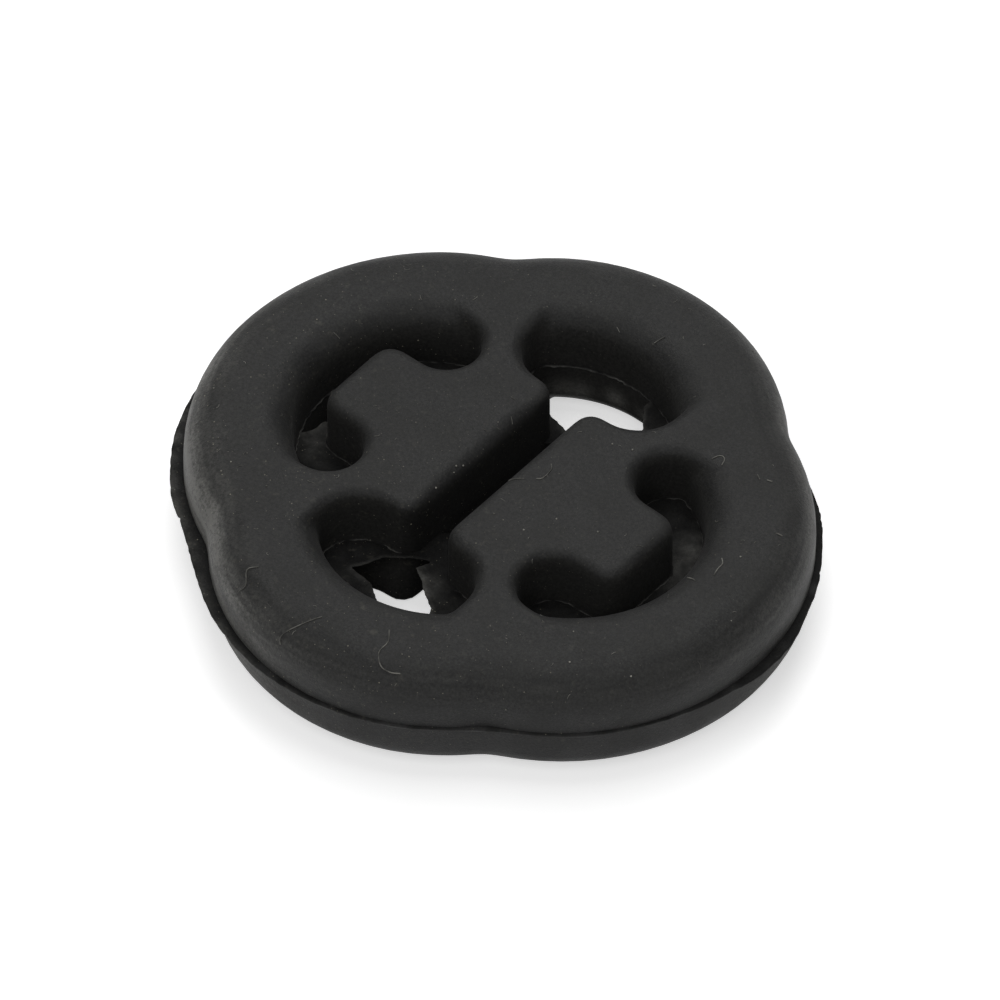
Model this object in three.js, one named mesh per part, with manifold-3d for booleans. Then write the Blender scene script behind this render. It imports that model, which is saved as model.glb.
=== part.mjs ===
// Exhaust hanger rubber: one moulded block that carries an exhaust pipe on two steel hooks.
// A four lobed ring holds two stop pads on four short spokes. The hook rods pass through the
// two oval eyes along Z. X runs from pad to pad, Y from eye to eye, and Z through the thickness.
// The origin is the middle of the block, in the parting plane of its mould.
// All lengths are in millimetres.

import * as THREE from 'three';
import { mergeVertices } from 'three/addons/utils/BufferGeometryUtils.js';
import Module from 'manifold-3d';

// Block
const bodyLength = 79;
const bodyWidth = 75;
const bodyThickness = 16;

// Ring, outside: two broad lobes beside the pads and two narrower lobes round the eyes
const sideLobeRadius = 30;
const endLobeRadius = 28;
const outerNotchRadius = 6;
const ringOuterRound = 5.2;

// Ring, inside
const sideSection = 12.6;
const endSection = 12.9;
const sideWallRadius = 15.5;
const endWallRadius = 15;
const ringInnerRound = 4;
const cuspRadiusAtFace = 0.6;

// Eyes for the hook rods, and the slot between the pads that joins them. Every edge of the pads
// and spokes is rounded at the upper face and almost sharp at the lower one.
const eyeWidth = 21.8;
const eyeHeight = 11.1;
const eyeCornerRadius = 5.5;
const slotWidth = 4.6;
const padRound = 1.6;
const padLowerRound = 0.3;
const slotCornerAtFace = 0.8;

// Side windows: a narrow gap in front of each pad that ends in two round bulbs
const windowGap = 4.2;
const bulbRadius = 4.2;
const bulbDepth = 9.6;
const padNoseHalfWidth = 6.45;
const padCornerAtFace = 1.1;

// Flash: the thin fin of rubber left at the parting plane
const flashThickness = 0.4;
const flashNarrow = 0.25;
const flashWideLeft = 1.8;
const flashWideRight = 0.9;
const flashAngleLeft = THREE.MathUtils.degToRad(225);
const flashAngleRight = THREE.MathUtils.degToRad(40);
const flashRipple = 0.1;
const flashRipples = 22;
const flashRoot = 2;
const flashNotchRadius = 32;

// How far a facet may leave the true curve
const chordError = 0.03;

const halfThickness = bodyThickness / 2;
const innerWallX = bodyLength / 2 - sideSection;
const innerWallY = bodyWidth / 2 - endSection;
const padFrontX = innerWallX - windowGap;
const padEndY = innerWallY - eyeHeight;

// Number of facets that follow an arc within the chord error
function arcSteps(radius, sweep) {
  const step = 2 * Math.acos(1 - chordError / Math.max(radius, 2 * chordError));
  return Math.max(2, Math.ceil(Math.abs(sweep) / step));
}

// An arc of an outline. Pushing the outline outwards makes a bulging arc larger (grows 1)
// and a hollow one smaller (grows -1), about the same centre.
function arc(x, y, radius, grows, from, sweep) {
  return { x, y, radius, grows, from, sweep };
}

function arcTurned(piece) {
  return { ...piece, x: -piece.x, y: -piece.y, from: piece.from + Math.PI };
}

// Outline of four lobes: circles on the X and Y axes joined by round notches
function fourLobes(reachX, radiusX, reachY, radiusY, notchRadius) {
  const centreX = reachX - radiusX;
  const centreY = reachY - radiusY;
  const apart = Math.hypot(centreX, centreY);
  const toX = radiusX + notchRadius;
  const toY = radiusY + notchRadius;
  const along = (toX ** 2 - toY ** 2 + apart ** 2) / (2 * apart);
  const across = Math.sqrt(toX ** 2 - along ** 2);
  const notchX = centreX + (-centreX * along + centreY * across) / apart;
  const notchY = (centreY * along + centreX * across) / apart;
  const angleX = Math.atan2(notchY, notchX - centreX);
  const angleY = Math.atan2(notchY - centreY, notchX);
  const notchSweep = angleY - angleX;
  const half = [
    arc(centreX, 0, radiusX, 1, -angleX, 2 * angleX),
    arc(notchX, notchY, notchRadius, -1, Math.PI + angleX, notchSweep),
    arc(0, centreY, radiusY, 1, angleY, Math.PI - 2 * angleY),
    arc(-notchX, notchY, notchRadius, -1, -angleY, notchSweep),
  ];
  return [...half, ...half.map(arcTurned)];
}

// Outline with straight walls and a radius at each corner, listed anticlockwise
function roundedCorners(corners) {
  return corners.map(([x, y, radius], i) => {
    const [beforeX, beforeY] = corners.at(i - 1);
    const [afterX, afterY] = corners[(i + 1) % corners.length];
    const into = new THREE.Vector2(x - beforeX, y - beforeY).normalize();
    const outOf = new THREE.Vector2(afterX - x, afterY - y).normalize();
    const sweep = Math.atan2(into.cross(outOf), into.dot(outOf));
    const grows = Math.sign(sweep);
    const setBack = radius * Math.tan(Math.abs(sweep) / 2);
    const centreX = x - into.x * setBack - into.y * grows * radius;
    const centreY = y - into.y * setBack + into.x * grows * radius;
    return arc(centreX, centreY, radius, grows, into.angle() - grows * Math.PI / 2, sweep);
  });
}

// Points of an outline pushed outwards by an offset, the same number for every offset
function trace(outline, offset = 0) {
  return outline.flatMap((piece) => {
    const steps = arcSteps(piece.radius, piece.sweep);
    const radius = piece.radius + piece.grows * offset;
    return Array.from({ length: steps + 1 }, (_, k) => {
      const angle = piece.from + (piece.sweep * k) / steps;
      return new THREE.Vector2(
        piece.x + radius * Math.cos(angle),
        piece.y + radius * Math.sin(angle),
      );
    });
  });
}

// Heights of one rounded edge, from the straight wall to the upper face, with the offset that
// the round gives each. A round of a wall that stands outside the rubber flares the opening
// (direction 1), one of the block's own outside draws the block in (direction -1).
function roundedEdge(round, direction) {
  const steps = arcSteps(round, Math.PI / 2);
  return Array.from({ length: steps + 1 }, (_, k) => {
    const angle = (Math.PI / 2) * (k / steps);
    return {
      z: halfThickness - round + round * Math.sin(angle),
      offset: direction * round * (1 - Math.cos(angle)),
    };
  });
}

function turnedDown(levels) {
  return levels.map(({ z, offset }) => ({ z: -z, offset })).reverse();
}

// Levels of the block's outside, from its lower face to its upper one
function roundedLevels(round) {
  const edge = roundedEdge(round, -1);
  return [...turnedDown(edge), ...edge];
}

// Levels of an opening: rounded at both faces and carried on straight past them
function flaredLevels(upperRound, lowerRound = upperRound) {
  const flare = (round) => [
    ...roundedEdge(round, 1),
    { z: halfThickness + round, offset: round },
  ];
  return [...turnedDown(flare(lowerRound)), ...flare(upperRound)];
}

// Closed solid through rows of points, one row for each height
function loft(rows, heights) {
  const count = rows[0].length;
  const positions = rows.flatMap((row, level) => row.flatMap((p) => [p.x, p.y, heights[level]]));
  const index = [];
  for (let level = 0; level < rows.length - 1; level++) {
    for (let i = 0; i < count; i++) {
      const next = (i + 1) % count;
      const [a, b] = [level * count + i, level * count + next];
      const [c, d] = [a + count, b + count];
      index.push(a, b, d, a, d, c);
    }
  }
  const top = (rows.length - 1) * count;
  for (const [a, b, c] of THREE.ShapeUtils.triangulateShape(rows[0], [])) {
    index.push(a, c, b);
  }
  for (const [a, b, c] of THREE.ShapeUtils.triangulateShape(rows.at(-1), [])) {
    index.push(top + a, top + b, top + c);
  }
  const geometry = new THREE.BufferGeometry();
  geometry.setAttribute('position', new THREE.Float32BufferAttribute(positions, 3));
  geometry.setIndex(index);
  return geometry;
}

function loftOutline(outline, levels) {
  return loft(levels.map(({ offset }) => trace(outline, offset)), levels.map(({ z }) => z));
}

const wasm = await Module();
wasm.setup();

function toSolid(geometry) {
  const welded = mergeVertices(geometry, 1e-4);
  return new wasm.Manifold(new wasm.Mesh({
    numProp: 3,
    vertProperties: welded.attributes.position.array,
    triVerts: Uint32Array.from(welded.index.array),
  }));
}

function toGeometry(solid) {
  const { vertProperties, triVerts } = solid.getMesh();
  const geometry = new THREE.BufferGeometry();
  geometry.setAttribute('position', new THREE.BufferAttribute(vertProperties, 3));
  geometry.setIndex(new THREE.BufferAttribute(triVerts, 1));
  geometry.computeVertexNormals();
  return geometry;
}

// Ring
const outerOutline = fourLobes(
  bodyLength / 2, sideLobeRadius, bodyWidth / 2, endLobeRadius, outerNotchRadius,
);
const innerOutline = fourLobes(
  innerWallX, sideWallRadius, innerWallY, endWallRadius, ringInnerRound + cuspRadiusAtFace,
);

function makeRing() {
  const block = toSolid(loftOutline(outerOutline, roundedLevels(ringOuterRound)));
  const hollow = toSolid(loftOutline(innerOutline, flaredLevels(ringInnerRound)));
  return block.subtract(hollow);
}

// Cutter for both eyes and their slot. It runs on into the ring, whose own wall closes the eyes.
function makeEyeCutter() {
  const slotX = slotWidth / 2;
  const eyeX = eyeWidth / 2;
  const pastWall = innerWallY + endSection / 2;
  const slotCorner = padRound + slotCornerAtFace;
  const half = [
    [slotX, padEndY, slotCorner],
    [eyeX, padEndY, eyeCornerRadius],
    [eyeX, pastWall, eyeCornerRadius],
    [-eyeX, pastWall, eyeCornerRadius],
    [-eyeX, padEndY, eyeCornerRadius],
    [-slotX, padEndY, slotCorner],
  ];
  const corners = [...half, ...half.map(([x, y, radius]) => [-x, -y, radius])];
  return toSolid(loftOutline(roundedCorners(corners), flaredLevels(padRound, padLowerRound)));
}

// Cutter for the window in front of one pad, side 1 or -1 along X
function makeWindowCutter(side) {
  const bulbEndX = padFrontX - bulbDepth;
  const bulbOuterY = padNoseHalfWidth + 2 * bulbRadius;
  const pastWall = innerWallX + sideSection / 2;
  const padCorner = padRound + padCornerAtFace;
  const corners = [
    [bulbEndX, -bulbOuterY, bulbRadius],
    [pastWall, -bulbOuterY, bulbRadius],
    [pastWall, bulbOuterY, bulbRadius],
    [bulbEndX, bulbOuterY, bulbRadius],
    [bulbEndX, padNoseHalfWidth, bulbRadius],
    [padFrontX, padNoseHalfWidth, padCorner],
    [padFrontX, -padNoseHalfWidth, padCorner],
    [bulbEndX, -padNoseHalfWidth, bulbRadius],
  ].map(([x, y, radius]) => [side * x, side * y, radius]);
  return toSolid(loftOutline(roundedCorners(corners), flaredLevels(padRound, padLowerRound)));
}

// Pads and spokes: a plate inside the ring, flush with its faces, cut by the openings
function makePadsAndSpokes() {
  const reach = -Math.min(sideSection, endSection) / 2;
  const faces = [-halfThickness, halfThickness].map((z) => ({ z, offset: reach }));
  return toSolid(loftOutline(outerOutline, faces))
    .subtract(makeEyeCutter())
    .subtract(makeWindowCutter(1))
    .subtract(makeWindowCutter(-1));
}

// Flash: it bridges the notches, is widest on two opposite shoulders and has an uneven edge
function flashReach(angle) {
  const left = Math.max(0, Math.cos(angle - flashAngleLeft)) ** 4;
  const right = Math.max(0, Math.cos(angle - flashAngleRight)) ** 4;
  const wide = (flashWideLeft - flashNarrow) * left + (flashWideRight - flashNarrow) * right;
  const ripple = flashRipple * (left + right) * Math.sin(flashRipples * angle);
  return flashNarrow + wide + ripple;
}

function makeFlash() {
  const bridged = fourLobes(
    bodyLength / 2, sideLobeRadius, bodyWidth / 2, endLobeRadius, flashNotchRadius,
  );
  const edge = trace(bridged).map((p) => p.setLength(p.length() + flashReach(p.angle())));
  const faces = [-flashThickness / 2, flashThickness / 2];
  const fin = toSolid(loft([edge, edge], faces));
  const root = [-1, 1].map((z) => ({ z: z * flashThickness, offset: -flashRoot }));
  return fin.subtract(toSolid(loftOutline(outerOutline, root)));
}

const rubber = new THREE.MeshStandardMaterial({ color: 0x2f3031, roughness: 0.85, metalness: 0 });

const hanger = new THREE.Mesh(
  toGeometry(makeRing().add(makePadsAndSpokes()).add(makeFlash())),
  rubber,
);
hanger.name = 'hanger_rubber';

const group = new THREE.Group();
group.add(hanger);

export default group;
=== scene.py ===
# %% [markdown]
# # Exhaust hanger rubber
#
# A hanger rubber carries an exhaust pipe under a car. It is one block of moulded rubber: a four
# lobed ring with two stop pads inside it, carried by four short spokes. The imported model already
# has the true form and size. This lesson gives it the looks: the soft moulded skin, the thin
# flash that the mould left at its parting plane, and the dust and lint that black rubber draws.

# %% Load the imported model
import math
import random

import bmesh
import bpy
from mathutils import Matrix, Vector, noise
from mathutils.bvhtree import BVHTree


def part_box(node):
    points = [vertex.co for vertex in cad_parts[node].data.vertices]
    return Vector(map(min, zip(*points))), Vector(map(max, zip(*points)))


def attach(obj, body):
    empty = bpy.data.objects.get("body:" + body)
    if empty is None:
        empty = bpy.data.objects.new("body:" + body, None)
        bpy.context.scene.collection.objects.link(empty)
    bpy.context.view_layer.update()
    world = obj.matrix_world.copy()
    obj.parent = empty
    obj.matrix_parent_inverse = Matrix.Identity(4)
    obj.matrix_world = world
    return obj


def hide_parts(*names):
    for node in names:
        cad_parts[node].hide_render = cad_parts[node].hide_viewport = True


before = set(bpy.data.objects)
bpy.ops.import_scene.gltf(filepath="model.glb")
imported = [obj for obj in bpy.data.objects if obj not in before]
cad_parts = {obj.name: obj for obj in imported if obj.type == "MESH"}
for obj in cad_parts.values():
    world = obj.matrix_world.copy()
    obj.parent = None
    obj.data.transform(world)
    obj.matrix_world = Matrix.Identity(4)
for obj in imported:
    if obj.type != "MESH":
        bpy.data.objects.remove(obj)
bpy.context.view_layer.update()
cad_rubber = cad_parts["hanger_rubber"]
low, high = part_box("hanger_rubber")
MM = 0.001
half_thickness = high.z
print("rubber in mm:", [round(size / MM, 2) for size in high - low])

# %% [markdown]
# ## Camera
#
# The rubber lies flat and is seen from above one corner, at about 48 degrees. Its far and near
# edges are drawn at almost one scale, so the photograph was taken from well back with a long
# lens. A long lens and a distance of two metres give the same calm perspective here. The small
# shift puts the block where the photograph has it, without turning the view.

# %% Set the camera
CAMERA_AZIMUTH = math.radians(40.5)
CAMERA_ELEVATION = math.radians(47.8)
CAMERA_DISTANCE = 1.961
CAMERA_LENS = 600.0
CAMERA_SHIFT = (0.0009, 0.0045)

towards_camera = Vector((
    math.sin(CAMERA_AZIMUTH) * math.cos(CAMERA_ELEVATION),
    -math.cos(CAMERA_AZIMUTH) * math.cos(CAMERA_ELEVATION),
    math.sin(CAMERA_ELEVATION),
))
camera = bpy.data.objects.new("camera", bpy.data.cameras.new("camera"))
camera.location = towards_camera * CAMERA_DISTANCE
camera.rotation_euler = towards_camera.to_track_quat("Z", "Y").to_euler()
camera.data.lens = CAMERA_LENS
camera.data.shift_x, camera.data.shift_y = CAMERA_SHIFT
bpy.context.scene.collection.objects.link(camera)
bpy.context.scene.camera = camera
bpy.context.scene.view_settings.view_transform = "Standard"
print("camera stands", round(CAMERA_DISTANCE, 2), "m away")

# %% [markdown]
# ## Helpers
#
# Every piece of this scene is a mesh that moves with the block, and every material is a small
# net of nodes. Both could be put together by hand in the editor, with the same steps each time.
# Here one helper turns a bmesh into a piece, and the others add a node, feed its inputs, and
# build the noise, ramps and mixes that all the materials share. They keep the later cells short.

# %% Make a piece from a bmesh
def make_piece(name, bm, material):
    mesh = bpy.data.meshes.new(name)
    bm.to_mesh(mesh)
    bm.free()
    return place_piece(name, mesh, material)


def place_piece(name, mesh, material):
    mesh.materials.clear()
    mesh.materials.append(material)
    mesh.shade_smooth()
    piece = bpy.data.objects.new(name, mesh)
    bpy.context.scene.collection.objects.link(piece)
    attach(piece, "root")
    return piece


# %% Add a node and feed it
def feed(material, socket, value):
    """Fill one input of a node: by a link if the value comes from a node, or else by number"""
    if isinstance(value, bpy.types.NodeSocket):
        material.node_tree.links.new(value, socket)
    else:
        socket.default_value = value


def add_node(material, kind, settings=None, **inputs):
    node = material.node_tree.nodes.new(kind)
    for name, value in (settings or {}).items():
        setattr(node, name, value)
    for name, value in inputs.items():
        feed(material, node.inputs[name.replace("_", " ")], value)
    return node


def new_material(name):
    material = bpy.data.materials.new(name)
    material.use_nodes = True
    material.node_tree.nodes.clear()
    return material


def finish_material(material, shader):
    output = add_node(material, "ShaderNodeOutputMaterial")
    material.node_tree.links.new(shader.outputs[0], output.inputs["Surface"])
    return material


# %% Noise, ramps and mixes
def noise_at(material, where, size, detail=2.0, roughness=0.5):
    """Soft noise whose lumps are about size metres across"""
    texture = add_node(material, "ShaderNodeTexNoise", Vector=where, Scale=1 / size,
                       Detail=detail, Roughness=roughness)
    return texture.outputs["Fac"]


def ramp(material, value, start, end, at_start=0.0, at_end=1.0):
    """A smooth step between two results, taken while the value goes from start to end"""
    step = add_node(material, "ShaderNodeMapRange", {"interpolation_type": "SMOOTHSTEP"},
                    Value=value, From_Min=start, From_Max=end, To_Min=at_start, To_Max=at_end)
    return step.outputs["Result"]


def arithmetic(material, operation, first, second):
    node = add_node(material, "ShaderNodeMath", {"operation": operation})
    for socket, value in zip(node.inputs, (first, second)):
        feed(material, socket, value)
    return node.outputs[0]


def mix_colour(material, share, first, second):
    node = add_node(material, "ShaderNodeMix", {"data_type": "RGBA"})
    # inputs 6 and 7 and output 2 are the ones for colours; the others are for numbers and vectors
    feed(material, node.inputs[0], share)
    feed(material, node.inputs[6], first)
    feed(material, node.inputs[7], second)
    return node.outputs[2]


# %% [markdown]
# ## Rubber
#
# Carbon black makes this rubber almost black. It isn't glossy: the mould is blasted, so the skin
# scatters light, and talc and dust from handling lie on it as a grey bloom with soft smudges and
# many pale specks. One way would be to paint one dark grey with a high roughness. That looks like
# painted plastic, so the colour here is built in layers: black skin with greyer blotches, painted
# shade towards black on the inner walls, the films, the flash and what faces the floor, the bloom,
# the smudges, and three sizes of specks, which are fewest at the back. The bloom's layer holds
# painted light too: a painted highlight along the outer rims, and painted light on the rounds that
# face the camera, on a few spots and on the films. How much of it a place has, and how much painted
# shade, is read from the mesh, where later cells store it. The bump has two scales, a very fine
# grain and the low dents of a moulded face.

# %% Colours and sizes of the rubber's layers
RUBBER_BLACK = (0.0064, 0.0065, 0.0066, 1.0)
RUBBER_GREY = (0.0210, 0.0210, 0.0204, 1.0)
RUBBER_PALE = (0.0340, 0.0340, 0.0328, 1.0)
# Painted shade: the inner walls, films, flash and what faces the floor darken towards this black
PAINTED_SHADE_BLACK = (0.0058, 0.0058, 0.0059, 1.0)
# The colour of dust, and of the painted highlight and painted light that share its layer
DUST_AND_PAINTED_LIGHT_GREY = (0.150, 0.148, 0.138, 1.0)
SPECK_GREY = (0.34, 0.32, 0.25, 1.0)
BLOTCH_SIZE = 7 * MM
MOTTLE_SIZE = 0.3 * MM
BLOOM_LUMPS = 0.45 * MM
# How strongly the stored dust and painted light show, how far its lumps swing from that, and the
# share of the swing that is left on inner walls
BLOOM_LEVEL, BLOOM_SWING, BLOOM_CALM = 1.1, 0.6, 0.45
# Cell size and radius in mm, share of the cells that hold a speck, and how clear the specks are
# on clean rubber, from fine to coarse
SPECKS = [(0.6, 0.07, 0.55, 0.35), (1.3, 0.10, 0.40, 0.45), (3.2, 0.13, 0.25, 0.6)]
SPECKS_ON_BLOOM = 1.5
SPECKS_CLEAREST = 0.8
SMUDGE_SIZE = 1.1 * MM
SMUDGE_CLEAR = 0.07
PATCH_SIZE = 18 * MM
# X plus Y, in metres, where the specks begin to thin out towards the back and where they are
# fewest, and how many there are at both
SPECKS_THIN_OUT = (-0.03, 0.035)
SPECKS_LEFT = (1.15, 0.2)
GRAIN_SIZE, GRAIN_DEPTH = 0.25 * MM, 0.08 * MM
DENT_SIZE, DENT_DEPTH = 3.5 * MM, 0.12 * MM
ROUGHNESS = (0.56, 0.68)
SHINE, WALL_SHINE = 0.3, 0.0
SHEEN, SHEEN_ROUGHNESS = 0.03, 0.4
print("bloom is", round(DUST_AND_PAINTED_LIGHT_GREY[0] / RUBBER_BLACK[0]), "times paler than the rubber")


# %% Rubber material
def specks(material, where, cell, radius, share):
    """Round specks: one in each cell of a Voronoi pattern, kept in a share of the cells"""
    cells = add_node(material, "ShaderNodeTexVoronoi", Vector=where, Scale=1 / cell)
    inside = ramp(material, cells.outputs["Distance"], 0.6 * radius / cell, radius / cell, 1.0, 0.0)
    chance = add_node(material, "ShaderNodeSeparateColor", Color=cells.outputs["Color"])
    kept = ramp(material, chance.outputs["Red"], share, share + 0.01, 1.0, 0.0)
    return arithmetic(material, "MULTIPLY", inside, kept)


def make_rubber():
    rubber = new_material("rubber")
    where = add_node(rubber, "ShaderNodeTexCoord").outputs["Object"]
    dust_and_painted_light = add_node(rubber, "ShaderNodeAttribute", {"attribute_name": "dust_and_painted_light"}).outputs["Fac"]
    wall = add_node(rubber, "ShaderNodeAttribute", {"attribute_name": "painted_shade"}).outputs["Fac"]

    # the black skin, with greyer blotches
    blotches = ramp(rubber, noise_at(rubber, where, BLOTCH_SIZE, 4.0), 0.35, 0.7)
    mottle = ramp(rubber, noise_at(rubber, where, MOTTLE_SIZE, 4.0, 0.75), 0.38, 0.68)
    skin = mix_colour(rubber, arithmetic(rubber, "MULTIPLY", blotches, 0.7), RUBBER_BLACK, RUBBER_GREY)
    skin = mix_colour(rubber, arithmetic(rubber, "MULTIPLY", mottle, 0.5), skin, RUBBER_PALE)
    # painted shade: the skin darkens towards black where the mesh stores painted shade, and the same
    # share takes its shine off below
    skin = mix_colour(rubber, arithmetic(rubber, "MULTIPLY", wall, 0.9), skin, PAINTED_SHADE_BLACK)

    # the dust and painted light, lumpy outside and calmer on the inner walls
    lumps = ramp(rubber, noise_at(rubber, where, BLOOM_LUMPS, 6.0, 0.75), 0.35, 0.65, 0.0,
                 2 * BLOOM_SWING)
    calm = ramp(rubber, wall, 0.0, 1.0, 1.0, BLOOM_CALM)
    uneven = arithmetic(rubber, "MULTIPLY", arithmetic(rubber, "SUBTRACT", lumps, BLOOM_SWING), calm)
    dust_and_light_share = arithmetic(rubber, "MULTIPLY", dust_and_painted_light, arithmetic(rubber, "ADD", BLOOM_LEVEL, uneven))
    colour = mix_colour(rubber, dust_and_light_share, skin, DUST_AND_PAINTED_LIGHT_GREY)

    # smudges and specks, in patches, and fewer towards the back
    patches = ramp(rubber, noise_at(rubber, where, PATCH_SIZE, 1.0), 0.35, 0.6, 0.55, 1.0)
    axes = add_node(rubber, "ShaderNodeSeparateXYZ", Vector=where)
    backward = arithmetic(rubber, "ADD", axes.outputs["X"], axes.outputs["Y"])
    fewer = ramp(rubber, backward, *SPECKS_THIN_OUT, *SPECKS_LEFT)
    patches = arithmetic(rubber, "MULTIPLY", patches, fewer)
    smudge = ramp(rubber, noise_at(rubber, where, SMUDGE_SIZE, 3.0, 0.6), 0.58, 0.74, 0.0, SMUDGE_CLEAR)
    colour = mix_colour(rubber, arithmetic(rubber, "MULTIPLY", smudge, patches), colour, SPECK_GREY)
    for size, radius, share, clear in SPECKS:
        spots = specks(rubber, where, size * MM, radius * MM, share)
        on_bloom = arithmetic(rubber, "MULTIPLY", dust_and_painted_light, SPECKS_ON_BLOOM)
        strength = arithmetic(rubber, "ADD", on_bloom, clear)
        strength = arithmetic(rubber, "MINIMUM", strength, SPECKS_CLEAREST)
        strength = arithmetic(rubber, "MULTIPLY", strength, patches)
        colour = mix_colour(rubber, arithmetic(rubber, "MULTIPLY", spots, strength), colour, SPECK_GREY)

    # the grain and dents of the surface
    grain = add_node(rubber, "ShaderNodeBump", Strength=1.0, Distance=GRAIN_DEPTH,
                     Height=noise_at(rubber, where, GRAIN_SIZE, 3.0, 0.7))
    dents = add_node(rubber, "ShaderNodeBump", Strength=0.5, Distance=DENT_DEPTH,
                     Height=noise_at(rubber, where, DENT_SIZE, 1.0), Normal=grain.outputs["Normal"])
    shader = add_node(rubber, "ShaderNodeBsdfPrincipled", Base_Color=colour,
                      Roughness=ramp(rubber, blotches, 0.0, 1.0, *ROUGHNESS),
                      Specular_IOR_Level=ramp(rubber, wall, 0.0, 1.0, SHINE, WALL_SHINE),
                      Sheen_Weight=SHEEN, Sheen_Roughness=SHEEN_ROUGHNESS,
                      Normal=dents.outputs["Normal"])
    return finish_material(rubber, shader)


rubber = make_rubber()
print("rubber nodes:", len(rubber.node_tree.nodes))

# %% [markdown]
# ## Moulded block
#
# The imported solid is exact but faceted, and its flash is a thin fin with square edges. The skin
# of a real moulding has no facets, and each edge runs softly into the next. So the block is made
# again from a copy of the solid: the fin's vertices are deleted, the gap that they leave in the
# outer wall is bridged, and the whole is remeshed with even small faces and smoothed a little.
# Subdividing the facets would keep their creases, and modelling it all again could move a wall.
# The size stays the solid's own.

# %% Copy the solid and take its fin off
FIN_HALF_HEIGHT = 0.3 * MM
SAME_POINT = 1e-6

cad_mesh = bmesh.new()
cad_mesh.from_mesh(cad_rubber.data)
bmesh.ops.remove_doubles(cad_mesh, verts=cad_mesh.verts, dist=SAME_POINT)
cad_surface = BVHTree.FromBMesh(cad_mesh)

block = cad_mesh.copy()
fin = [v for v in block.verts if abs(v.co.z) < FIN_HALF_HEIGHT]
bmesh.ops.delete(block, geom=fin, context="VERTS")
rims = [e for e in block.edges if e.is_boundary]
bmesh.ops.bridge_loops(block, edges=rims)
bmesh.ops.recalc_face_normals(block, faces=block.faces)
block_surface = BVHTree.FromBMesh(block)
open_edges = sum(edge.is_boundary for edge in block.edges)
print("fin vertices taken off:", len(fin), "open edges left:", open_edges)

# %% Remesh and smooth it
SKIN_STEP = 0.44 * MM
SMOOTH_PASSES = 5


def remeshed(bm, step):
    mesh = bpy.data.meshes.new("raw_block")
    bm.to_mesh(mesh)
    raw = bpy.data.objects.new("raw_block", mesh)
    bpy.context.scene.collection.objects.link(raw)
    even = raw.modifiers.new("even_faces", "REMESH")
    even.mode = "VOXEL"
    even.voxel_size = step
    graph = bpy.context.evaluated_depsgraph_get()
    result = bmesh.new()
    result.from_mesh(bpy.data.meshes.new_from_object(raw.evaluated_get(graph)))
    bpy.data.objects.remove(raw)
    return result


skin = remeshed(block, SKIN_STEP)
for _ in range(SMOOTH_PASSES):
    bmesh.ops.smooth_vert(skin, verts=skin.verts, factor=0.5, use_axis_x=True, use_axis_y=True,
                          use_axis_z=True)
print("skin faces:", len(skin.faces))

# %% [markdown]
# ## Wear of the slot's edge
#
# The pads knock against each other across the slot in use, and the left one's upper edge has worn
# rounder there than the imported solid's. A bevel would need clean edges, which the remeshed skin no
# longer has. So each vertex near the edge is moved on to the round that it has now, whose radius
# fades out towards the ends of the slot.

# %% Wear the left edge of the slot round
WORN_RADIUS = 2.2 * MM
WORN_LENGTH = 12.5 * MM
WORN_FADE = 3.5 * MM
NEAR_SLOT = 6 * MM
WALL_SEEN_AT = 2 * MM


def clamped(value):
    return max(0.0, min(1.0, value))


def worn(place):
    """Where a point near the left pad's upper edge lies once that edge is worn round"""
    radius = WORN_RADIUS * clamped((WORN_LENGTH - abs(place.y)) / WORN_FADE)
    top = half_thickness - place.z
    if radius == 0 or top > radius or not -NEAR_SLOT <= place.x <= 0:
        return place
    wall = block_surface.ray_cast(Vector((0, place.y, WALL_SEEN_AT)), Vector((-1, 0, 0)))[0]
    inward = wall.x - place.x
    out = Vector((inward - radius, top - radius))
    if inward > radius or out.length <= radius:
        return place
    out *= radius / out.length
    return Vector((wall.x - radius - out.x, place.y, half_thickness - radius - out.y))


moved = 0
for v in skin.verts:
    new_place = worn(v.co)
    moved += new_place != v.co
    v.co = new_place
print("vertices moved at the worn edge:", moved)

# %% [markdown]
# ## Inner walls, dust, painted light and painted shade
#
# Dust settles on what faces up, and a thicker bloom lies where hands and boxes rub: on the outer
# wall and its rounds, most on the left. Along the outer rim that pale bloom is partly painted
# highlight, and the rounds that face the camera and a few spots in the far eye get painted light
# in the same layer. The walls inside the eyes, slot and windows get painted shade, darker and
# duller than the outside, and so, in part, does what faces the floor. A texture's coordinates alone
# can't tell all of this, so each vertex stores how much dust and painted light it holds and how
# much painted shade it gets.

# %% Tell the inner walls from the outside, and where shade is painted
INNER_WALLS_TO = 31.5 * MM
INNER_WALLS_FADE = 1.5 * MM
# Share of painted shade on what faces the floor
UNDER_SHADE = 0.35
# Half the width and half the length of the slot in mm, and how far each fades
SLOT_WIDTH, SLOT_WIDTH_FADE = 4.0, 0.5
SLOT_LENGTH, SLOT_LENGTH_FADE = 14.8, 3.0


def on_inner_wall(place, normal):
    """1 on an upright wall of an eye, slot or window, 0 on the flat faces and outside"""
    inside = clamped((INNER_WALLS_TO - Vector((place.x, place.y)).length) / INNER_WALLS_FADE)
    return inside * clamped((0.75 - abs(normal.z)) / 0.5)


def painted_shade_at(place, normal):
    """How much painted shade the skin gets: all of it on the inner walls, part where it faces the floor
    """
    return max(on_inner_wall(place, normal), UNDER_SHADE * clamped(-4 * normal.z))


def in_slot(place):
    """1 between the two pads, fading to 0 in the eyes at its ends"""
    across, along = abs(place.x) / MM, abs(place.y) / MM
    return (clamped((SLOT_WIDTH - across) / SLOT_WIDTH_FADE)
            * clamped((SLOT_LENGTH - along) / SLOT_LENGTH_FADE))


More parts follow.
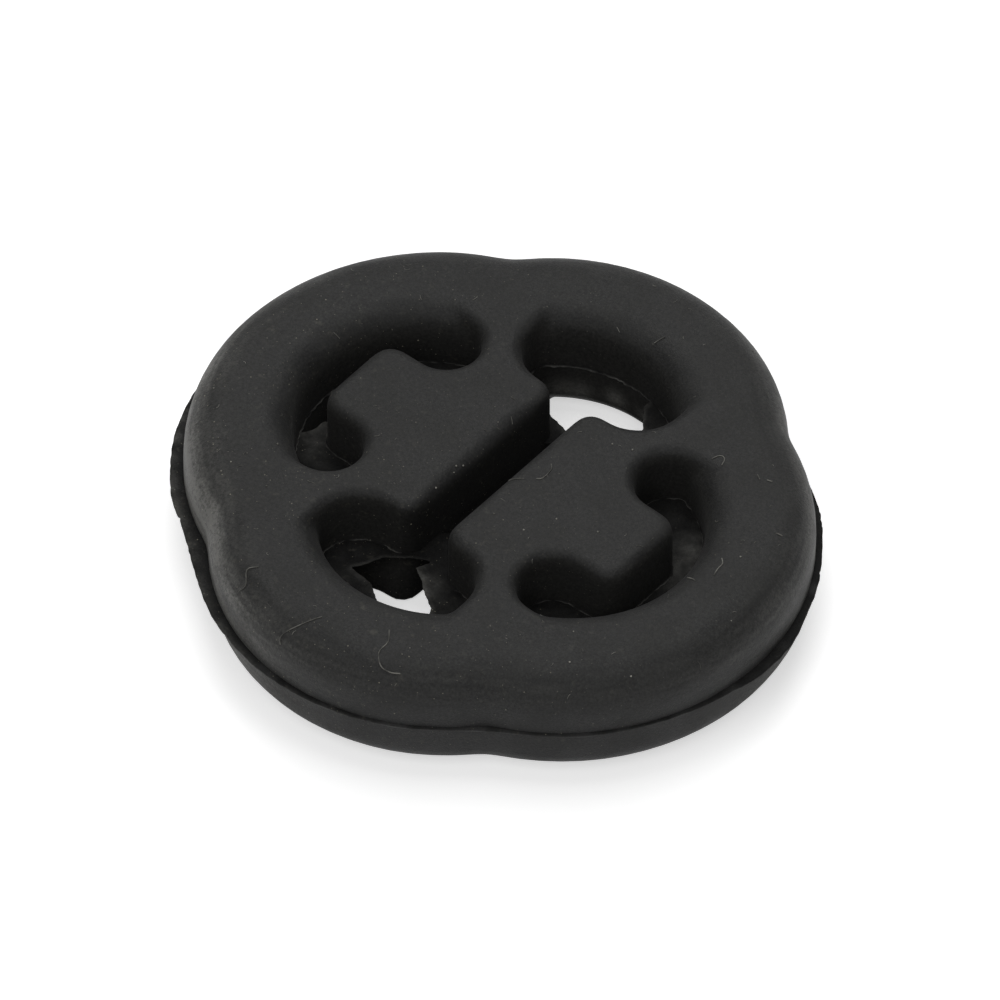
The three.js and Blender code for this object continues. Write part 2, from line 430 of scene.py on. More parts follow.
# Painted shade of each vertex: all of it on the inner walls, part on what faces the floor
painted_shade_layer = skin.verts.layers.float.new("painted_shade")
skin.normal_update()
for v in skin.verts:
    v[painted_shade_layer] = painted_shade_at(v.co, v.normal)
print("vertices on inner walls:", sum(v[painted_shade_layer] > 0.5 for v in skin.verts))

# %% Lay dust and painted light on the skin
OUTSIDE_FROM = 27 * MM
OUTSIDE_OVER = 6 * MM
# Sides whose outer rim is pale, and how strongly: partly dust rubbed on, partly painted highlight
PALE_RIM_SIDES = [(Vector((-0.87, -0.5, 0.0)), 1.0), (Vector((0.64, 0.77, 0.0)), 0.4)]
# A thin share of the pale rim on all that faces outwards, and the rest where it faces straight out
THIN_RIM_SHARE = 0.12
UPWARD_DUST = 0.045
PALE_RIM_UPWARD = 0.4
# Painted light on the outer rounds that face the camera, and the way they face
PAINTED_ROUND_LIGHT = 0.055
PAINTED_ROUND_LIGHT_SIDE = Vector((0.65, -0.76, 0.0))
WALL_DUST = 0.15
# Share of the inner walls' dust taken off in the slot: painted shade in that narrow recess
SLOT_PAINTED_SHADE = 0.5
STREAK_HEIGHT = 0.45 * MM
STREAK_BENDS = 5
# Places where the skin is pale, their radius and strength: the first four are scrapes, and the
# four in the far eye are painted light on its lower wall
SCUFFS_AND_PAINTED_LIGHT = [((-21.0, -27.0, 5.4), 1.3, 0.5), ((-18.0, -29.2, 6.0), 1.0, 0.4),
          ((-16.7, -31.2, 5.1), 1.0, 0.4), ((-29.0, -24.0, 0.2), 0.7, 0.4),
          ((-9.1, 21.5, -4.0), 1.5, 0.4), ((-7.0, 22.9, -4.2), 1.6, 0.45),
          ((-2.6, 24.4, -3.6), 1.3, 0.55), ((2.2, 24.4, -4.2), 1.4, 0.5)]


def streak_at(place, normal):
    """Faint lines that run round the outside of the ring, level with the flat faces"""
    angle = math.atan2(place.y, place.x)
    line = noise.noise(Vector((place.z / STREAK_HEIGHT, STREAK_BENDS * angle, 0.0)))
    off_the_flat = clamped((1 - abs(normal.z)) * 30)
    return 1 + line * off_the_flat * (1 - on_inner_wall(place, normal))


def dust_and_painted_light_on(place, normal):
    """Share of dust and painted light: settled dust, rims partly painted highlight, lit rounds and
    spots
    """
    radial = Vector((place.x, place.y, 0.0))
    way_out = radial.normalized()
    turned_out = normal.dot(way_out)
    outward = (THIN_RIM_SHARE * clamped(turned_out / 0.4)
               + (1 - THIN_RIM_SHARE) * clamped((turned_out - 0.42) / 0.5) ** 2)
    outside = clamped((radial.length - OUTSIDE_FROM) / OUTSIDE_OVER)
    pale_rim = sum(share * clamped(way_out.dot(side)) ** 3 for side, share in PALE_RIM_SIDES)
    settled = UPWARD_DUST * clamped(normal.z) ** 2 * (1 + PALE_RIM_UPWARD * pale_rim * outside)
    settled += WALL_DUST * on_inner_wall(place, normal) * (1 - SLOT_PAINTED_SHADE * in_slot(place))
    on_round = clamped(4 * normal.z * (1 - normal.z)) ** 2
    settled += PAINTED_ROUND_LIGHT * on_round * outside * clamped(way_out.dot(PAINTED_ROUND_LIGHT_SIDE))
    pale_spots = sum(strength * math.exp(-((place - Vector(spot) * MM).length / (radius * MM)) ** 2)
                  for spot, radius, strength in SCUFFS_AND_PAINTED_LIGHT)
    return (settled + outward * outside * pale_rim) * streak_at(place, normal) + pale_spots


dust_and_painted_light_layer = skin.verts.layers.float.new("dust_and_painted_light")
for v in skin.verts:
    v[dust_and_painted_light_layer] = dust_and_painted_light_on(v.co, v.normal)
print("most dust on a vertex:", round(max(v[dust_and_painted_light_layer] for v in skin.verts), 2))

# %% [markdown]
# ## Waves and leaning walls
#
# A moulded face has slight waves, too low to see as shapes and yet enough to bend a highlight.
# And in the photograph the pads' end walls lean out a little into the eyes below the parting
# plane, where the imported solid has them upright. A bump or a displacement in the material would
# show neither at an outline, so both are moves of the vertices, and they show in every view.

# %% Move the skin
WAVE_HEIGHT = 0.05 * MM
WAVE_LENGTH = 9 * MM
LEAN = 0.9 * MM
LEAN_BELOW = 1.5 * MM
LEAN_OVER = 5 * MM
# The end wall of a pad lies between these two distances from the middle of the block
PAD_END_FROM = 8 * MM
EYE_MIDDLE = 18.4 * MM
PAD_END_HALF_WIDTH = 9.5 * MM
PAD_END_FADE = 2 * MM
PAD_WALL_DEPTH = 3 * MM
PAD_WALL_SEEN_AT = -4 * MM


def lean(place):
    """How far the pads' end walls lean out into the eyes below the parting plane"""
    side = math.copysign(1.0, place.y)
    width_left = PAD_END_HALF_WIDTH - abs(place.x)
    if place.z > -LEAN_BELOW or width_left < 0 or not PAD_END_FROM < abs(place.y) < EYE_MIDDLE:
        return Vector()
    start = Vector((place.x, side * EYE_MIDDLE, PAD_WALL_SEEN_AT))
    wall = block_surface.ray_cast(start, Vector((0, -side, 0)))[0]
    if wall is None:
        return Vector()
    share = clamped(1 - (abs(wall.y) - abs(place.y)) / PAD_WALL_DEPTH)
    share *= clamped(width_left / PAD_END_FADE)
    return Vector((0, side * LEAN * share * clamped((-place.z - LEAN_BELOW) / LEAN_OVER), 0))


moves = []
for v in skin.verts:
    wave = WAVE_HEIGHT * noise.noise(v.co / WAVE_LENGTH) * clamped(2 + 2 * v.normal.z)
    moves.append(v.normal * wave + lean(v.co))
for v, move in zip(skin.verts, moves):
    v.co += move
body = make_piece("moulded_block", skin, rubber)
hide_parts("hanger_rubber")
print("moulded block:", len(body.data.polygons), "faces")

# %% [markdown]
# ## Flash
#
# Where the two halves of the mould meet, a film of rubber squeezes out. It runs round the outside
# as a fin, wide on one shoulder and almost gone at the front, and as a ragged thread in the eyes
# and windows. A curve drawn round by hand would never quite lie on the wall. A cut through the
# block at mid height gives the exact lines that the flash grows from, so `bisect_plane` finds
# them, and each line is extruded step by step round the flash's own small section, and closed at
# the root inside the rubber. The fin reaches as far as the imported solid's, apart from two places.

# %% Cut the block at the parting plane
CUT_TOLERANCE = 1e-7
LINE_MERGE = 2e-5
FLASH_STEP = 0.3 * MM


def furthest_right(verts):
    """The vertex furthest along X, or along Y among equals, so that each run takes the same"""
    return max(verts, key=lambda vert: (round(vert.co.x / MM, 3), vert.co.y))


def wall_lines(solid, step):
    """Closed lines where the walls cross the parting plane, with edges of about one step"""
    cut = solid.copy()
    bmesh.ops.bisect_plane(cut, geom=cut.verts[:] + cut.edges[:] + cut.faces[:],
                           dist=CUT_TOLERANCE, plane_co=(0, 0, 0), plane_no=(0, 0, 1),
                           clear_inner=True, clear_outer=True)
    bmesh.ops.remove_doubles(cut, verts=cut.verts, dist=LINE_MERGE)
    for edge in cut.edges[:]:
        pieces = round(edge.calc_length() / step)
        if pieces > 1:
            bmesh.ops.subdivide_edges(cut, edges=[edge], cuts=pieces - 1)
    lines = []
    unused = set(cut.verts)
    while unused:
        vert = furthest_right(unused)
        unused.discard(vert)
        line = [vert.co.copy()]
        while True:
            ways = [e.other_vert(vert) for e in vert.link_edges if e.other_vert(vert) in unused]
            if not ways:
                break
            vert = furthest_right(ways)
            unused.discard(vert)
            line.append(vert.co.copy())
        lines.append(line)
    cut.free()
    return sorted(lines, key=lambda line: (-round(max(point.length for point in line) / MM, 3),
                                           line[0].x))


lines = wall_lines(block, FLASH_STEP)
print("lines at the parting plane:", [len(line) for line in lines])

# %% Grow a flash from a line
WALL_SMOOTHING = 3
ROOT_DEPTH = 0.35 * MM
FILM_BLOOM = 0.04
# Half the section of a flash, from root to tip: share of its reach and of its height
UPPER_HALF = [(-1, 1.0), (0.0, 1.0), (0.3, 0.72), (0.7, 0.42), (1.0, 0.22)]
FLASH_SECTION = UPPER_HALF + [(share, -height) for share, height in reversed(UPPER_HALF)]


def away_from_wall(line):
    """Level directions out of the rubber, smoothed along the line"""
    ways = []
    for point in line:
        normal = block_surface.find_nearest(point)[1]
        ways.append(Vector((normal.x, normal.y, 0.0)).normalized())
    for _ in range(WALL_SMOOTHING):
        ways = [(ways[i - 1] + ways[i] + ways[(i + 1) % len(ways)]).normalized()
                for i in range(len(ways))]
    return ways


def grow_flash(line, reach, heights, curl, rim_bloom, shade):
    """A closed band along a line. Heights are those at root and tip, the rest is per point"""
    ways = away_from_wall(line)
    bm = bmesh.new()
    dust_and_painted_light = bm.verts.layers.float.new("dust_and_painted_light")
    wall = bm.verts.layers.float.new("painted_shade")
    first = [bm.verts.new(point) for point in line]
    count = len(first)
    edges = [bm.edges.new((first[i], first[(i + 1) % count])) for i in range(count)]
    rows = [first]
    for _ in FLASH_SECTION[1:]:
        grown = bmesh.ops.extrude_edge_only(bm, edges=edges)["geom"]
        edges = [e for e in grown if isinstance(e, bmesh.types.BMEdge)]
        above = {}
        for vert in (v for v in grown if isinstance(v, bmesh.types.BMVert)):
            for edge in vert.link_edges:
                above.setdefault(edge.other_vert(vert), vert)
        rows.append([above[vert] for vert in rows[-1]])
    start_edges = [e for e in bm.edges if e.is_boundary]
    bmesh.ops.bridge_loops(bm, edges=start_edges)
    for row, (share, height) in zip(rows, FLASH_SECTION):
        for i, vert in enumerate(row):
            out = -ROOT_DEPTH if share < 0 else share * reach[i]
            thick = heights[1] + (heights[0] - heights[1]) * abs(height)
            vert.co = line[i] + ways[i] * out
            vert.co.z += math.copysign(thick / 2, height) + curl[i] * max(0.0, share) ** 2
            film = max(0.0, share) * FILM_BLOOM * (1 + noise.noise(vert.co / (1.2 * MM)))
            vert[dust_and_painted_light] = rim_bloom[i] * max(0.0, share) ** 2 + film
            # the painted shade of the flash
            vert[wall] = shade[i]
    bmesh.ops.recalc_face_normals(bm, faces=bm.faces)
    return bm


# %% Outer fin
FIN_HEIGHTS = (0.55 * MM, 0.16 * MM)
FIN_RAGGED = 0.07
FIN_NICKS = 0.5
FIN_CURL = 0.25 * MM
LEAST_REACH = 0.12 * MM
FIN_BLOOM = 0.45
# Painted shade on the fin under the ring's round
FIN_SHADE = 0.6
# The bloom fades out from the left to the right, over this distance in mm
FIN_BLOOM_OVER = 40
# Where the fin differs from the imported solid's: degrees round from +X, spread in degrees, and mm
FIN_CHANGES = [(4, 10, 0.8), (59, 8, -0.6)]


def fin_reach(point, way):
    """How far the fin stands out here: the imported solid's own reach with the changes"""
    hit = cad_surface.ray_cast(point + way * 0.02 * MM, way)[0]
    own = (hit - point).length if hit else 0.0
    angle = math.degrees(math.atan2(point.y, point.x))
    return own + sum(more * MM * math.exp(-((angle - middle) / spread) ** 2)
                     for middle, spread, more in FIN_CHANGES)


outer = lines[0]
ways = away_from_wall(outer)
reach = []
curl = []
for point, way in zip(outer, ways):
    nicks = noise.noise(point / (1.1 * MM)) + 2 * noise.noise(point / (4.5 * MM))
    ragged = 1 + FIN_RAGGED * nicks - FIN_NICKS * clamped(noise.noise(point / (0.9 * MM)) - 0.4)
    reach.append(max(LEAST_REACH, fin_reach(point, way) * ragged))
    curl.append(FIN_CURL * noise.noise(point / (6 * MM) + Vector((7.0, 0.0, 0.0))))
print("fin stands out", round(min(reach) / MM, 2), "to", round(max(reach) / MM, 2), "mm")
fin_bloom = []
fin_shade = []
for point, width in zip(outer, reach):
    on_the_left = clamped(0.5 - point.x / (FIN_BLOOM_OVER * MM))
    patchy = clamped(0.5 + 1.5 * noise.noise(point / (2.5 * MM)))
    fin_bloom.append(FIN_BLOOM * on_the_left * clamped(width / MM) * patchy)
    # painted shade on the fin, more where it stands out further
    darker = 0.75 + width / (2 * MM) + 1.4 * noise.noise(point / (3 * MM))
    fin_shade.append(FIN_SHADE * clamped(darker))
fin_mesh = grow_flash(outer, reach, FIN_HEIGHTS, curl, fin_bloom, fin_shade)
make_piece("outer_flash", fin_mesh, rubber)

# %% Thread of flash inside the eyes and windows
THREAD_REACH = 0.32 * MM
THREAD_HEIGHTS = (0.35 * MM, 0.12 * MM)
THREAD_CURL = 0.3
# How much paler than the wall the thread is, in patches
THREAD_PALENESS = 0.7
# Painted shade on the threads inside the openings
THREAD_SHADE = 0.7
WORN_OFF = 0.25 * MM


def left_of_thread(point):
    """1 where the thread is whole, and 0 between the pads, where it has worn off"""
    return clamped(0.8 + 0.8 * noise.noise(point / (3 * MM))) * (1 - in_slot(point))


for number, line in enumerate(lines[1:], start=1):
    reach = []
    curl = []
    thread_paleness = []
    for point in line:
        left = left_of_thread(point)
        ragged = clamped(0.65 + noise.noise(point / (0.7 * MM)))
        reach.append(THREAD_REACH * left * ragged - WORN_OFF * in_slot(point))
        curl.append(THREAD_CURL * reach[-1] * noise.noise(point / (4 * MM)))
        patchy = clamped(0.6 + 1.5 * noise.noise(point / (1.3 * MM)))
        thread_paleness.append(THREAD_PALENESS * left * patchy)
    shade = [THREAD_SHADE] * len(line)
    thread = grow_flash(line, reach, THREAD_HEIGHTS, curl, thread_paleness, shade)
    make_piece(f"inner_flash_{number}", thread, rubber)
    print("inner flash", number, "has", len(line), "steps")

# %% [markdown]
# ## Torn membranes
#
# In each eye and window a film of rubber still hangs in the parting plane, with tears where it
# was pushed through. Such a film has no outline of its own: it fills the opening, less its
# tears. So it starts as a fine grid over the opening. What lies deep in the rubber is deleted, and
# so is what lies in a tear, whose rim is then smoothed. Noise lifts and dents the film, least at
# the walls that hold it, and a thin wall is added last. The corners of the tears are the few
# points of each edge that the photograph shows, closed where it shows nothing.

# %% Find the rubber and the tears
def depth_in_rubber(point):
    """Distance to the nearest wall, above zero inside the rubber"""
    nearest, normal, _, _ = block_surface.find_nearest(point)
    return math.copysign((nearest - point).length, (nearest - point).dot(normal))


def lies_in(point, corners):
    """Whether a point is inside an outline of corners in mm, by counting the sides it passes"""
    x, y = point.x / MM, point.y / MM
    inside = False
    for (x1, y1), (x2, y2) in zip(corners, corners[1:] + corners[:1]):
        if (y1 > y) != (y2 > y) and x < x1 + (y - y1) * (x2 - x1) / (y2 - y1):
            inside = not inside
    return inside


ring_middle = Vector((0, 30 * MM, 0))
print("rubber round the middle of the ring, mm:", round(depth_in_rubber(ring_middle) / MM, 1))

# %% Cut the sheet of a film
FILM_CELL = 0.22 * MM
FILM_HOLD = 0.5 * MM
RAGGED = 0.18 * MM


def film_sheet(low_corner, high_corner, tears):
    """A fine flat grid between two corners, cut off in the rubber and at the tears"""
    size = high_corner - low_corner
    film = bmesh.new()
    for name in ("dust_and_painted_light", "painted_shade"):
        film.verts.layers.float.new(name)
    bmesh.ops.create_grid(film, x_segments=round(size.x / FILM_CELL),
                          y_segments=round(size.y / FILM_CELL), size=0.5)
    bmesh.ops.scale(film, verts=film.verts, vec=(size.x, size.y, 1))
    bmesh.ops.translate(film, verts=film.verts, vec=(low_corner + high_corner) / 2)
    depth = {v: depth_in_rubber(v.co) for v in film.verts}
    gone = []
    for v, deep in depth.items():
        ragged = v.co + noise.noise_vector(v.co / (1.1 * MM)) * RAGGED
        if deep > FILM_HOLD or any(lies_in(ragged, corners) for corners in tears):
            gone.append(v)
    bmesh.ops.delete(film, geom=gone, context="VERTS")
    bmesh.ops.delete(film, geom=[v for v in film.verts if not v.link_faces], context="VERTS")
    return film, depth


# %% Tear and wrinkle a film
FILM_WALL = 0.14 * MM
# Painted shade on the films, which lie inside the openings
FILM_SHADE = 0.8
# How far from the walls that hold it a film is free to wrinkle
FILM_FREE_FROM = 1.5 * MM
WRINKLE_HEIGHT = 0.55 * MM
CREASE_HEIGHT = 0.16 * MM
RIM_PASSES = 8
RIM_BLOOM = 0.3
RIM_ROWS = 4
RIM_CURL = 0.2 * MM
# Share of a film's paleness taken off at the slot's mouth: painted shade there
SLOT_FILM_PAINTED_SHADE = 0.8
# Places in mm where a film is painted paler, as painted light, their radius and their share
PAINTED_FILM_LIGHT = [((-2.0, -10.2), 2.6, 0.10), ((2.0, -15.4), 2.0, 0.14), ((-24.0, -6.5), 3.0, 0.10),
             ((22.0, 9.2), 2.2, 0.20), ((23.0, 4.5), 2.4, 0.12), ((5.2, 19.0), 1.6, 0.06)]


def torn_film(low_corner, high_corner, tears):
    """A wrinkled film between two corners in mm, held by the walls and open at its tears"""
    film, depth = film_sheet(Vector((*low_corner, 0)) * MM, Vector((*high_corner, 0)) * MM, tears)
    rim = [v for v in film.verts if v.is_boundary and depth[v] < 0]
    for _ in range(RIM_PASSES):
        bmesh.ops.smooth_vert(film, verts=rim, factor=0.5, use_axis_x=True, use_axis_y=True)
    dust_and_painted_light = film.verts.layers.float["dust_and_painted_light"]
    wall = film.verts.layers.float["painted_shade"]
    for v in film.verts:
        free = clamped(-depth[v] / FILM_FREE_FROM)
        lumps = noise.noise(v.co / (3.2 * MM))
        folds = 1 - abs(noise.noise(v.co / (1.6 * MM)))
        v.co.z += free * (WRINKLE_HEIGHT * lumps + CREASE_HEIGHT * folds)
        v[wall] = FILM_SHADE
        # painted light: paler patches on the films
        pale = sum(share * math.exp(-((v.co.xy / MM - Vector(spot)).length / radius) ** 2)
                   for spot, radius, share in PAINTED_FILM_LIGHT)
        dusty = 1 + 0.9 * noise.noise(v.co / (1.2 * MM))
        v[dust_and_painted_light] = (FILM_BLOOM + pale) * dusty * (1 - SLOT_FILM_PAINTED_SHADE * in_slot(v.co))
    near_rim = set(rim)
    for _ in range(RIM_ROWS):
        for v in near_rim:
            pale = RIM_BLOOM / RIM_ROWS * clamped(0.6 + noise.noise(v.co / (2 * MM)))
            v[dust_and_painted_light] += pale * (1 - in_slot(v.co))
            v.co.z += RIM_CURL / RIM_ROWS
        near_rim |= {e.other_vert(v) for v in near_rim for e in v.link_edges}
    bmesh.ops.solidify(film, geom=film.faces, thickness=FILM_WALL)
    bmesh.ops.recalc_face_normals(film, faces=film.faces)
    return film


# %% Films in the eyes and windows
FILM_SEED = 4
# noise_vector has a seed of its own, which is the time of day unless it is set
noise.seed_set(FILM_SEED)
# Corners of each tear in mm, on the plan of the block
EYE_TEARS = [
    # near eye: from the stop pad's end to the ring
    [(-6.3, -18.8), (-4.4, -15.6), (-2.0, -13.6), (-0.1, -12.3), (-0.9, -14.6), (0.7, -15.4),
     (2.5, -16.7), (4.4, -18.0), (6.6, -20.6), (6.4, -26.0), (-0.4, -26.0), (-0.6, -20.8),
     (-2.1, -19.7), (-4.2, -18.8)],
    # far eye: nearly all of it
    [(-12.0, 17.0), (-7.0, 16.4), (-5.0, 15.1), (-1.4, 14.1), (1.6, 13.6), (4.0, 16.0),
     (5.1, 19.7), (3.9, 21.2), (2.9, 22.4), (2.6, 27.0), (-12.0, 27.0)],
    # slot between the pads
    [(-3.0, -8.2), (-0.8, -7.0), (0.9, -8.8), (3.0, -7.6), (3.0, 10.6), (0.7, 9.2), (-1.1, 11.0),
     (-3.0, 10.0)],
]
RIGHT_TEARS = [
    [(21.0, -13.0), (24.6, -8.4), (27.0, -4.0), (24.8, -4.6), (23.4, -8.0), (20.6, -9.8)],
]
LEFT_TEARS = [
    [(-28.0, -6.6), (-25.4, -6.4), (-24.7, -5.2), (-24.2, -3.4), (-22.0, -1.6), (-22.0, 9.0),
     (-28.0, 9.0)],
]
eye_film = make_piece("eye_film", torn_film((-12, -26), (12, 26), EYE_TEARS), rubber)
right_film = make_piece("right_window_film", torn_film((12, -16), (28, 16), RIGHT_TEARS), rubber)
left_film = make_piece("left_window_film", torn_film((-28, -16), (-12, 16), LEFT_TEARS), rubber)
for film in (eye_film, right_film, left_film):
    print(film.name, "has", len(film.data.polygons), "faces")

# %% [markdown]
# ## Lint
#
# Rubber holds a static charge, so it picks up hairs and short fibres. As real threads they are
# made as curves with a round section, dropped on to the skin from above, and turned into one
# mesh. A particle system would do for fur, but here each of the few long hairs lies where the
# photograph has it. A random scatter with a fixed seed adds the short ones that it shows all over.

# %% Lint material
LINT_COLOURS = (0.06, 0.059, 0.053, 1.0), (0.20, 0.196, 0.175, 1.0)
DUST_COLOURS = (0.10, 0.097, 0.085, 1.0), (0.34, 0.33, 0.29, 1.0)


def make_loose_material(name, dark, pale):
    """Dull fibre or dust, in patches of two greys"""
    loose = new_material(name)
    where = add_node(loose, "ShaderNodeTexCoord").outputs["Object"]
    patches = ramp(loose, noise_at(loose, where, 1.5 * MM, 3.0), 0.35, 0.65)
    shader = add_node(loose, "ShaderNodeBsdfPrincipled", Roughness=0.8,
                      Base_Color=mix_colour(loose, patches, dark, pale))
    return finish_material(loose, shader)


lint_material = make_loose_material("lint", *LINT_COLOURS)
dust_material = make_loose_material("dust_and_light_share", *DUST_COLOURS)
print("loose materials:", lint_material.name, "and", dust_material.name)

# %% Find the skin from above and bend a hair
DROP_HEIGHT = 20 * MM
STEEPEST = 0.2
HAIR_STEPS = 5

skin_surface = BVHTree.FromObject(body, bpy.context.evaluated_depsgraph_get())


def dropped(x, y, radius):
    """The point of the skin under (x, y), raised by a thread's radius, or None over a hole"""
    hit = skin_surface.ray_cast(Vector((x, y, DROP_HEIGHT)), Vector((0, 0, -1)))
    return hit[0] + hit[1] * radius if hit[0] and hit[1].z > STEEPEST else None


def smooth_path(points):
    """A smooth path through the points: each stretch bends by its neighbours"""
    padded = [points[0], *points, points[-1]]
    path = []
    for before, start, end, after in zip(padded, padded[1:], padded[2:], padded[3:]):
        for step in range(HAIR_STEPS):
            t = step / HAIR_STEPS
            path.append(tuple(
                b + 0.5 * t * (c - a + t * (2 * a - 5 * b + 4 * c - d + t * (3 * (b - c) + d - a)))
                for a, b, c, d in zip(before, start, end, after)))
    return path + [points[-1]]


print("skin under a pad's middle, mm:", round(dropped(10 * MM, 0, 0).z / MM, 2))

# %% Sizes and places of hairs and fibres
HAIR_RADIUS = 0.065 * MM
FIBRE_RADIUS = 0.034 * MM
FIBRE_COUNT = 160
FIBRE_BEND = 0.9
# Shortest and longest half of a fibre in mm
FIBRE_HALVES = (0.12, 0.42)
LINT_SEED = 7
# Points in mm on the plan of the block, for the long hairs
HAIRS = [
    [(7.8, -28.8), (8.9, -30.3), (9.0, -32.0), (10.1, -33.0), (11.4, -32.9), (12.5, -32.3)],
    [(-10.3, -31.1), (-11.3, -32.0), (-10.2, -33.5), (-10.7, -34.2)],
    [(0.5, -32.3), (-0.9, -34.5), (-2.3, -36.2), (-2.0, -36.8)],
    [(19.0, 16.2), (19.3, 17.0), (19.8, 17.3), (20.3, 16.9), (20.5, 16.2)],
    [(1.6, 26.4), (1.9, 27.0), (2.2, 27.6)],
    [(2.9, -1.6), (3.4, -1.2), (4.3, -0.5)],
    [(5.2, 3.3), (5.8, 2.6), (5.9, 1.0), (5.4, 0.4)],
    [(28.5, 0.5), (29.2, 0.45), (29.9, 0.3)],
    [(30.0, 4.9), (30.6, 4.3), (30.7, 3.3), (31.0, 2.3)],
    [(32.2, 12.1), (32.9, 12.4)],
    [(24.7, 17.7), (25.4, 17.3)],
    [(26.1, 17.8), (26.7, 18.0)],
]
print("hairs:", len(HAIRS), "and up to", FIBRE_COUNT, "fibres")


# %% Lay the lint on the skin
def short_fibre(dice):
    """Three points of a slightly bent fibre, laid at random"""
    x, y = dice.uniform(low.x, high.x), dice.uniform(low.y, high.y)
    turn, bend = dice.uniform(0, 2 * math.pi), dice.uniform(-FIBRE_BEND, FIBRE_BEND)
    step = dice.uniform(*FIBRE_HALVES) * MM
    points = [(x, y)]
    for angle in (turn, turn + bend):
        x, y = x + step * math.cos(angle), y + step * math.sin(angle)
        points.append((x, y))
    return points


def add_thread(curve, points, radius):
    """Lay a thread on the skin, unless a part of it would lie over a hole or a steep wall"""
    places = [dropped(x, y, radius) for x, y in smooth_path(points)]
    if None in places:
        return
    spline = curve.splines.new("POLY")
    spline.points.add(len(places) - 1)
    for point, place in zip(spline.points, places):
        point.co = (*place, 1.0)
        point.radius = radius / HAIR_RADIUS


def make_lint():
    curve = bpy.data.curves.new("lint", "CURVE")
    curve.dimensions = "3D"
    curve.bevel_depth = HAIR_RADIUS
    curve.bevel_resolution = 1
    curve.use_fill_caps = True
    for hair in HAIRS:
        add_thread(curve, [(x * MM, y * MM) for x, y in hair], HAIR_RADIUS)
    dice = random.Random(LINT_SEED)
    for _ in range(FIBRE_COUNT):
        add_thread(curve, short_fibre(dice), FIBRE_RADIUS)
    threads = bpy.data.objects.new("threads", curve)
    bpy.context.scene.collection.objects.link(threads)
    graph = bpy.context.evaluated_depsgraph_get()
    mesh = bpy.data.meshes.new_from_object(threads.evaluated_get(graph))
    print("threads of lint:", len(curve.splines))
    bpy.data.objects.remove(threads)
    return mesh


place_piece("lint", make_lint(), lint_material)

# %% [markdown]
# ## Grains of dust
#
# The largest specks are grains that stand on the skin and catch the light from any side. A speck
# painted on the skin can't do that, so these few are small rough balls, each pressed a little
# into the surface. Some lie where the photograph has them, the rest are scattered.

# %% Grains of dust
# Points in mm on the plan of the block
GRAINS = [(9.5, -6.7), (11.3, -2.9), (5.2, -7.0), (-3.3, -3.9), (-2.9, -3.1), (-3.0, -7.9),
          (16.3, -1.3), (33.1, -15.2), (26.9, -18.9), (31.5, 6.5), (35.1, -15.5), (8.6, 10.4),
          (11.0, 11.2), (-27.3, -18.8), (-23.6, -20.8), (-23.7, -22.4), (-21.5, -14.9), (-17.9, -21.0)]
GRAIN_RADIUS = 0.11 * MM
SMALL_GRAINS = 40
SMALL_GRAIN_SIZES = (0.35, 0.75)
GRAIN_RAISED = 0.3
GRAIN_ROUGHNESS = 0.35
GRAIN_SEED = 11


def make_grains():
    bm = bmesh.new()
    dice = random.Random(GRAIN_SEED)
    places = [(x * MM, y * MM, GRAIN_RADIUS) for x, y in GRAINS]
    for _ in range(SMALL_GRAINS):
        x, y = dice.uniform(low.x, high.x), dice.uniform(low.y, high.y)
        places.append((x, y, GRAIN_RADIUS * dice.uniform(*SMALL_GRAIN_SIZES)))
    for x, y, radius in places:
        place = dropped(x, y, GRAIN_RAISED * radius)
        if place is None:
            continue
        ball = bmesh.ops.create_icosphere(bm, subdivisions=2, radius=radius)["verts"]
        for v in ball:
            v.co *= 1 + GRAIN_ROUGHNESS * noise.noise(v.co / (0.6 * radius) + place / MM)
        bmesh.ops.translate(bm, verts=ball, vec=place)
    print("grains:", len(places))
    return bm


make_piece("dust_grains", make_grains(), dust_material)

# %% [markdown]
# ## Floor and light
#
# The block lies on a plain white floor under soft studio light: a large lamp overhead and one
# behind it, whose shine lies on the flat faces and the far edges, and one in front that lights the
# near rounds. The eyes and windows get little of it, and their walls carry painted shade as well,
# so they are nearly black. The floor is white by its colour and by a little light of its own that
# only the camera and reflections see, so it stays white and still shows the block's soft shadow.

# %% Floor
FLOOR_SIZE = 4.0
FLOOR_GLOW = 0.55
FLOOR_WHITE = (0.85, 0.85, 0.85, 1.0)


def make_floor_white():
    white = new_material("floor_white")
    seen = add_node(white, "ShaderNodeLightPath")
    camera_or_gloss = arithmetic(white, "MAXIMUM", seen.outputs["Is Camera Ray"],
                                 seen.outputs["Is Glossy Ray"])
    looked_at = arithmetic(white, "MAXIMUM", camera_or_gloss, seen.outputs["Is Transmission Ray"])
    glow = add_node(white, "ShaderNodeEmission", Color=(1, 1, 1, 1),
                    Strength=arithmetic(white, "MULTIPLY", looked_at, FLOOR_GLOW))
    paint = add_node(white, "ShaderNodeBsdfDiffuse", Color=FLOOR_WHITE)
    both = add_node(white, "ShaderNodeAddShader")
    white.node_tree.links.new(glow.outputs[0], both.inputs[0])
    white.node_tree.links.new(paint.outputs[0], both.inputs[1])
    return finish_material(white, both)


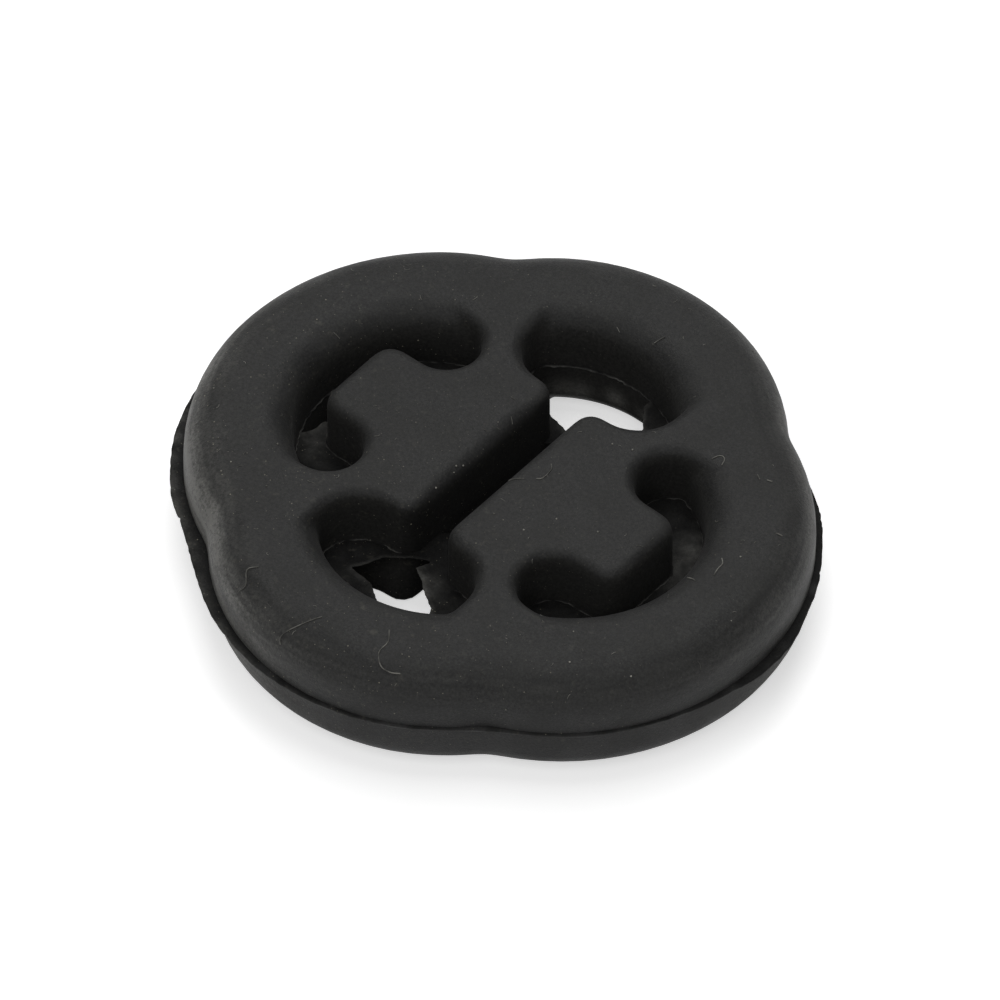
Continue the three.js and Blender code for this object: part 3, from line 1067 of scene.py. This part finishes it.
floor_bm = bmesh.new()
bmesh.ops.create_grid(floor_bm, x_segments=1, y_segments=1, size=FLOOR_SIZE / 2)
bmesh.ops.translate(floor_bm, verts=floor_bm.verts, vec=(0, 0, -half_thickness))
floor_mesh = bpy.data.meshes.new("floor")
floor_bm.to_mesh(floor_mesh)
floor_bm.free()
floor_mesh.materials.append(make_floor_white())
floor = bpy.data.objects.new("floor", floor_mesh)
bpy.context.scene.collection.objects.link(floor)
print("floor lies at", round(-half_thickness / MM, 2), "mm")

# %% World and lamps
WORLD_LEVEL = 0.22
# Degrees round from the front and degrees up, and power in watts
LAMPS = {"overhead_lamp": (215, 75, 2.8), "back_lamp": (220, 45, 1.6), "front_lamp": (25, 52, 2.1)}
LAMP_DISTANCE = 0.9
LAMP_SIZE = 0.6


def make_world():
    world = bpy.data.worlds.new("studio")
    world.use_nodes = True
    tree = world.node_tree
    tree.nodes.clear()
    seen = tree.nodes.new("ShaderNodeLightPath")
    level = tree.nodes.new("ShaderNodeMapRange")
    level.inputs["To Min"].default_value = WORLD_LEVEL
    level.inputs["To Max"].default_value = 1.0
    tree.links.new(seen.outputs["Is Camera Ray"], level.inputs["Value"])
    background = tree.nodes.new("ShaderNodeBackground")
    tree.links.new(level.outputs["Result"], background.inputs["Strength"])
    output = tree.nodes.new("ShaderNodeOutputWorld")
    tree.links.new(background.outputs[0], output.inputs["Surface"])
    bpy.context.scene.world = world


def add_lamp(name, azimuth, elevation, power):
    """A square soft lamp that looks at the block. Azimuth 0 is in front, on the -Y side"""
    turn, rise = math.radians(azimuth), math.radians(elevation)
    way = Vector((math.sin(turn) * math.cos(rise), -math.cos(turn) * math.cos(rise), math.sin(rise)))
    data = bpy.data.lights.new(name, "AREA")
    data.size = LAMP_SIZE
    data.energy = power
    lamp = bpy.data.objects.new(name, data)
    lamp.location = way * LAMP_DISTANCE
    lamp.rotation_euler = way.to_track_quat("Z", "Y").to_euler()
    bpy.context.scene.collection.objects.link(lamp)


make_world()
for name, (azimuth, elevation, power) in LAMPS.items():
    add_lamp(name, azimuth, elevation, power)
print("lamps:", ", ".join(LAMPS))
